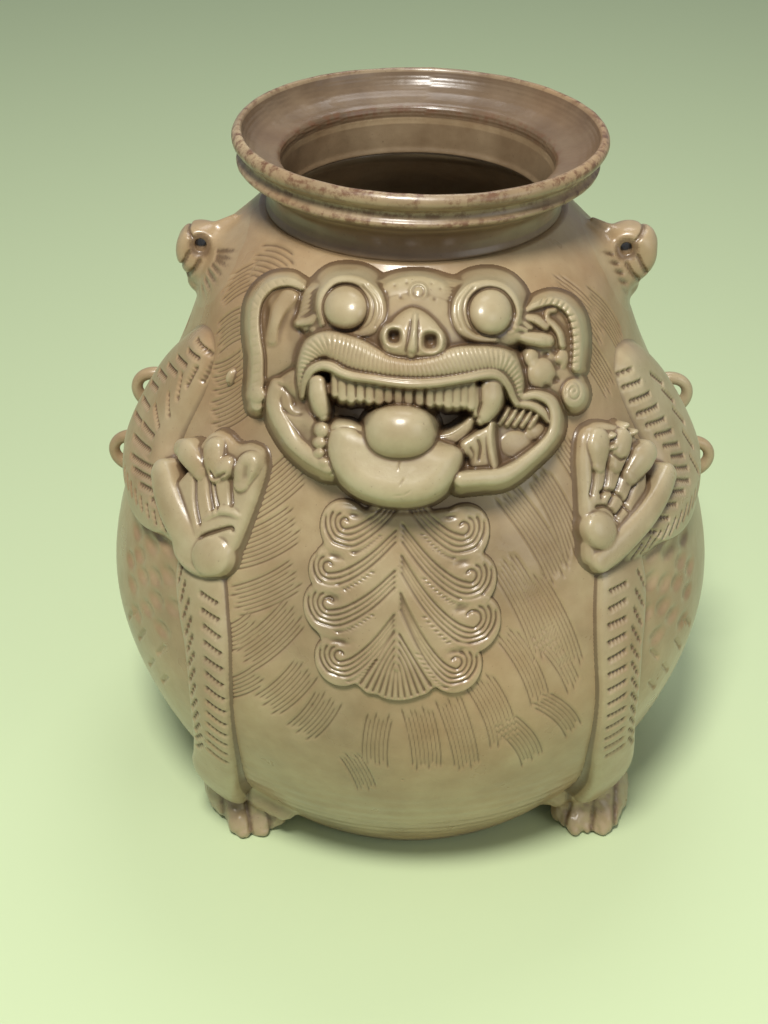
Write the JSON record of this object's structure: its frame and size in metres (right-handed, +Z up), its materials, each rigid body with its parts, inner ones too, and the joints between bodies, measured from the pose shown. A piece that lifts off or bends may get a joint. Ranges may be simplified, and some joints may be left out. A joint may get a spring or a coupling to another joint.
{
  "type": "beast-shaped zun jar",
  "caption": "Wide-bellied glazed stoneware jar with a dish mouth, modelled as a crouching beast with a face, raised paws, legs, beard, pierced lugs and a pearl in its mouth.",
  "frame": {"origin": "centre of the flat base, on the surface that the jar stands on", "axes": "+Z up along the axis of the jar, -Y towards the front, where the beast looks, +X towards the right of someone who looks at its face"},
  "size_m": [0.2484, 0.2485, 0.2801],
  "materials": {
    "jar_glaze": "glossy brownish olive celadon over combed clay",
    "rim_glaze": "glossy celadon worn to iron brown along the edges",
    "relief_glaze": "glossy paler green-grey celadon, thin on the high points"
  },
  "bodies": {
    "root": {"body_jar": "jar_glaze", "neck_and_dish_rim": "rim_glaze", "beard_plaque": "relief_glaze", "left_leg": "relief_glaze", "right_leg": "relief_glaze", "left_foot": "relief_glaze", "right_foot": "relief_glaze", "left_arm": "relief_glaze", "right_arm": "relief_glaze", "left_palm": "relief_glaze", "right_palm": "relief_glaze", "brow_plate": "relief_glaze", "left_eye_socket": "relief_glaze", "right_eye_socket": "relief_glaze", "left_eyeball": "relief_glaze", "right_eyeball": "relief_glaze", "nose": "relief_glaze", "moustache_lip": "relief_glaze", "upper_lip_bead": "relief_glaze", "tooth_row": "relief_glaze", "left_fang": "relief_glaze", "right_fang": "relief_glaze", "lower_lip": "relief_glaze", "pearl": "relief_glaze", "left_jaw_flare": "relief_glaze", "right_jaw_flare": "relief_glaze", "left_cheek_tuft": "relief_glaze", "right_cheek_tuft": "relief_glaze", "left_ear": "relief_glaze", "right_ear": "relief_glaze", "forehead_boss": "relief_glaze", "shoulder_pellet": "relief_glaze", "left_shoulder_lug": "relief_glaze", "right_shoulder_lug": "relief_glaze", "left_upper_loop": "relief_glaze", "left_lower_loop": "relief_glaze", "right_upper_loop": "relief_glaze", "right_lower_loop": "relief_glaze", "left_outer_digit": "relief_glaze", "left_second_digit": "relief_glaze", "left_third_digit": "relief_glaze", "left_inner_digit": "relief_glaze", "right_outer_digit": "relief_glaze", "right_second_digit": "relief_glaze", "right_third_digit": "relief_glaze", "right_inner_digit": "relief_glaze"}
  },
  "joints": []
}
